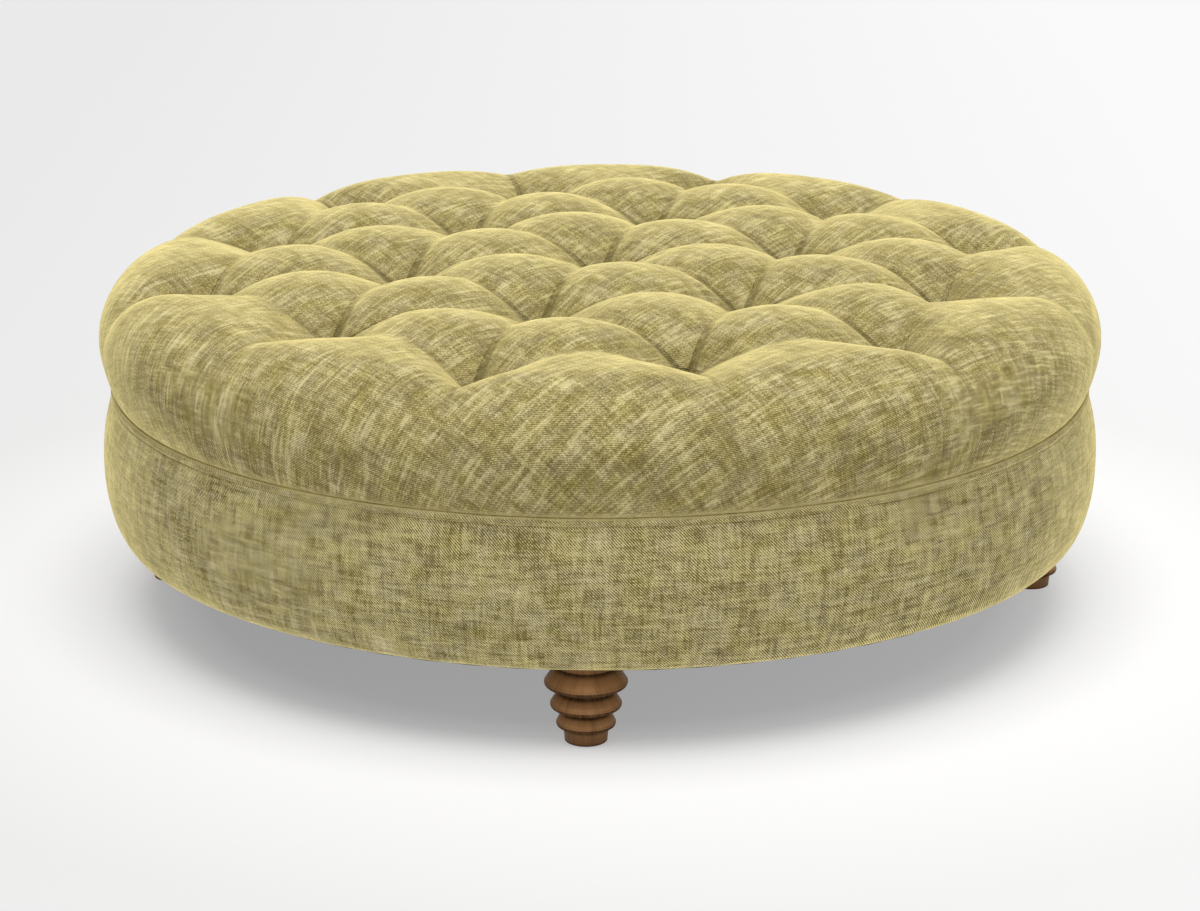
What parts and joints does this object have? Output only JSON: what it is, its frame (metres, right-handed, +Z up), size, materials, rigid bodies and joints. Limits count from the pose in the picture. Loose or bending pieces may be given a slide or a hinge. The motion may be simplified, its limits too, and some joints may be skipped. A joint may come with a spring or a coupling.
{
  "type": "tuffet",
  "caption": "Low round footstool with a deep blind-tufted cushion top, an upholstered band, piping at the waist and turned wooden feet with beads.",
  "frame": {"origin": "on the floor under the middle of the round body", "axes": "+Z up; the rows of tufts run along X; the feet stand on the diagonals between X and Y"},
  "size_m": [1.2, 1.2, 0.4248],
  "materials": {
    "cushion_cloth": "olive velvet, mottled pile over a fine twill",
    "band_cloth": "olive velvet, mottled pile over a fine twill",
    "piping_cloth": "the same velvet, folded over a cord",
    "wadding_fibre": "loose white fibre",
    "cushion_foam": "open-cell foam",
    "tuft_twine": "waxed twine",
    "strip_card": "pressed card",
    "bent_ply": "bare bent plywood",
    "plywood": "bare plywood",
    "frame_timber": "planed hardwood",
    "foot_wood": "turned wood, brown stain, satin lacquer",
    "glide_nylon": "moulded nylon",
    "fixing_steel": "zinc-plated steel",
    "dust_cloth": "thin black non-woven cloth"
  },
  "bodies": {
    "root": {"top_cover": "cushion_cloth", "top_wadding": "wadding_fibre", "top_foam": "cushion_foam", "tuft_tie_01": "tuft_twine", "tuft_tie_02": "tuft_twine", "tuft_tie_03": "tuft_twine", "tuft_tie_04": "tuft_twine", "tuft_tie_05": "tuft_twine", "tuft_tie_06": "tuft_twine", "tuft_tie_07": "tuft_twine", "tuft_tie_08": "tuft_twine", "tuft_tie_09": "tuft_twine", "tuft_tie_10": "tuft_twine", "tuft_tie_11": "tuft_twine", "tuft_tie_12": "tuft_twine", "tuft_tie_13": "tuft_twine", "tuft_tie_14": "tuft_twine", "tuft_tie_15": "tuft_twine", "tuft_tie_16": "tuft_twine", "tuft_tie_17": "tuft_twine", "tuft_tie_18": "tuft_twine", "tuft_tie_19": "tuft_twine", "welt": "piping_cloth", "band_cover": "band_cloth", "band_padding": "cushion_foam", "tack_strip": "strip_card", "band_hoop": "bent_ply", "top_deck": "plywood", "base_board": "plywood", "deck_rail_left": "frame_timber", "deck_rail_right": "frame_timber", "stud_1": "frame_timber", "stud_2": "frame_timber", "stud_3": "frame_timber", "stud_4": "frame_timber", "stud_5": "frame_timber", "stud_6": "frame_timber", "foot_block_1": "frame_timber", "foot_block_2": "frame_timber", "foot_block_3": "frame_timber", "foot_block_4": "frame_timber", "foot_1": "foot_wood", "foot_2": "foot_wood", "foot_3": "foot_wood", "foot_4": "foot_wood", "glide_1": "glide_nylon", "glide_2": "glide_nylon", "glide_3": "glide_nylon", "glide_4": "glide_nylon", "tee_nut_1": "fixing_steel", "tee_nut_2": "fixing_steel", "tee_nut_3": "fixing_steel", "tee_nut_4": "fixing_steel", "hanger_bolt_1": "fixing_steel", "hanger_bolt_2": "fixing_steel", "hanger_bolt_3": "fixing_steel", "hanger_bolt_4": "fixing_steel", "dust_cover": "dust_cloth"}
  },
  "joints": []
}
